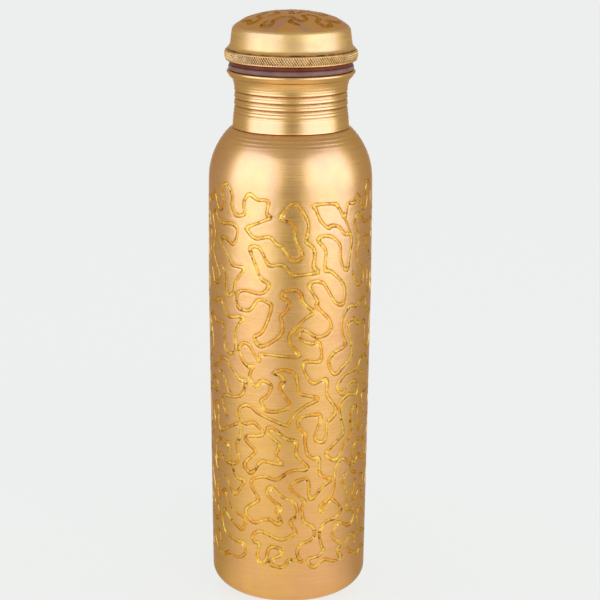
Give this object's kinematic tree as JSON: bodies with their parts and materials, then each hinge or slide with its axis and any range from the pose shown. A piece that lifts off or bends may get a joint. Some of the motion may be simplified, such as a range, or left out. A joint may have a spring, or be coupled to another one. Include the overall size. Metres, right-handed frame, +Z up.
{
  "type": "copper water bottle",
  "caption": "Round-shouldered copper water bottle with an engraved meander pattern, a grooved neck with a flared collar, and a domed screw cap with a knurled bead.",
  "frame": {"origin": "on the bottle's axis, in the plane of the flat ring that it stands on", "axes": "+Z up along the bottle's axis towards the cap, -Y towards the viewer"},
  "size_m": [0.072, 0.072, 0.2633],
  "materials": {
    "copper_body": "satin, lightly brushed, engraved lines filled in bright gold",
    "copper_neck": "satin, turned",
    "copper_mouth": "smooth, rolled thread",
    "gasket_silicone": "matte silicone",
    "copper_cap": "satin, knurled bead",
    "liner_plastic": "satin moulded plastic",
    "seal_silicone": "matte silicone"
  },
  "bodies": {
    "bottle": {"body_shell": "copper_body", "neck_sleeve": "copper_neck", "mouth_ring": "copper_mouth", "neck_gasket": "gasket_silicone"},
    "cap_seal": {"cap_seal_disc": "seal_silicone"},
    "cap": {"cap_shell": "copper_cap", "cap_liner": "liner_plastic"}
  },
  "joints": [
    {"name": "cap_rise", "type": "slide", "parent": "bottle", "child": "cap_seal", "axis": [0, 0, 1], "range_m": [0, 0.0251]},
    {"name": "cap_turn", "type": "hinge", "parent": "cap_seal", "child": "cap", "pos_m": [0, 0, 0.242], "axis": [0, 0, 1], "range_deg": [0, 2250]}
  ],
  "couplings": [
    {"joint": "cap_rise", "follows": "cap_turn", "m_per_rad": 0.00063662}
  ]
}
